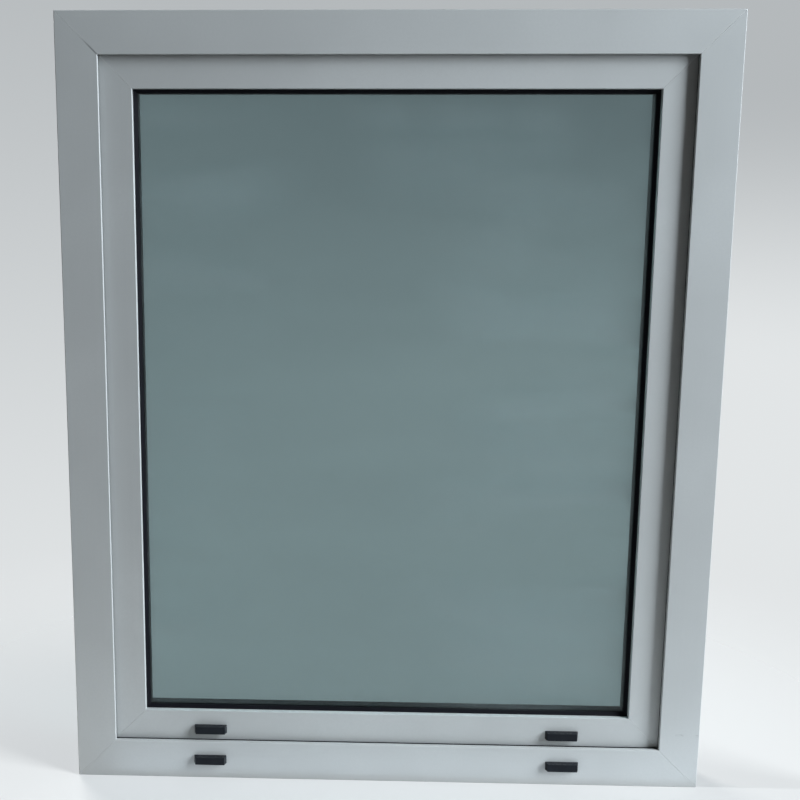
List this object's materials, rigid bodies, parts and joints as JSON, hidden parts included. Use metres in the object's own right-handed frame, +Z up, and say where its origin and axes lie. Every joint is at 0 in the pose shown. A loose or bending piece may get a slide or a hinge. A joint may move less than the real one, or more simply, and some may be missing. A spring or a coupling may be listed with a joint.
{
  "type": "aluminium window",
  "caption": "Single-sash aluminium window: mitred frame, recessed sash, black glazing gasket, sealed double glazing, drain caps along the bottom, handle and hinges on the room side.",
  "frame": {"origin": "middle of the bottom bearing face of the frame's outer shell", "axes": "+X to the right seen from outside, +Y into the room, +Z up"},
  "size_m": [0.8, 0.1095, 0.965],
  "materials": {
    "frame_coating": "satin silver grey coating",
    "sash_coating": "satin silver grey coating",
    "bead_coating": "satin silver grey coating",
    "polyamide": "black extruded polyamide",
    "gasket_rubber": "black extruded rubber",
    "glass": "clear float glass",
    "spacer": "black spacer bar",
    "cap_plastic": "black moulded plastic",
    "handle_metal": "satin silver",
    "hinge_metal": "satin silver",
    "pin_steel": "bright steel"
  },
  "bodies": {
    "root": {"frame_sill_outer": "frame_coating", "frame_head_outer": "frame_coating", "frame_left_jamb_outer": "frame_coating", "frame_right_jamb_outer": "frame_coating", "frame_sill_inner": "frame_coating", "frame_head_inner": "frame_coating", "frame_left_jamb_inner": "frame_coating", "frame_right_jamb_inner": "frame_coating", "frame_thermal_break": "polyamide", "sash_bottom_rail_outer": "sash_coating", "sash_top_rail_outer": "sash_coating", "sash_left_stile_outer": "sash_coating", "sash_right_stile_outer": "sash_coating", "sash_bottom_rail_inner": "sash_coating", "sash_top_rail_inner": "sash_coating", "sash_left_stile_inner": "sash_coating", "sash_right_stile_inner": "sash_coating", "sash_thermal_break": "polyamide", "glazing_bead_bottom": "bead_coating", "glazing_bead_top": "bead_coating", "glazing_bead_left": "bead_coating", "glazing_bead_right": "bead_coating", "outer_stop_gasket": "gasket_rubber", "inner_stop_gasket": "gasket_rubber", "outer_glazing_gasket": "gasket_rubber", "inner_glazing_gasket": "gasket_rubber", "glass_spacer": "spacer", "outer_pane": "glass", "inner_pane": "glass", "drain_cap_frame_left": "cap_plastic", "drain_cap_frame_right": "cap_plastic", "drain_cap_sash_left": "cap_plastic", "drain_cap_sash_right": "cap_plastic", "handle_base": "handle_metal", "handle_lever": "handle_metal", "hinge_lower_frame_leaf": "hinge_metal", "hinge_lower_sash_leaf": "hinge_metal", "hinge_lower_pin": "pin_steel", "hinge_upper_frame_leaf": "hinge_metal", "hinge_upper_sash_leaf": "hinge_metal", "hinge_upper_pin": "pin_steel"}
  },
  "joints": []
}
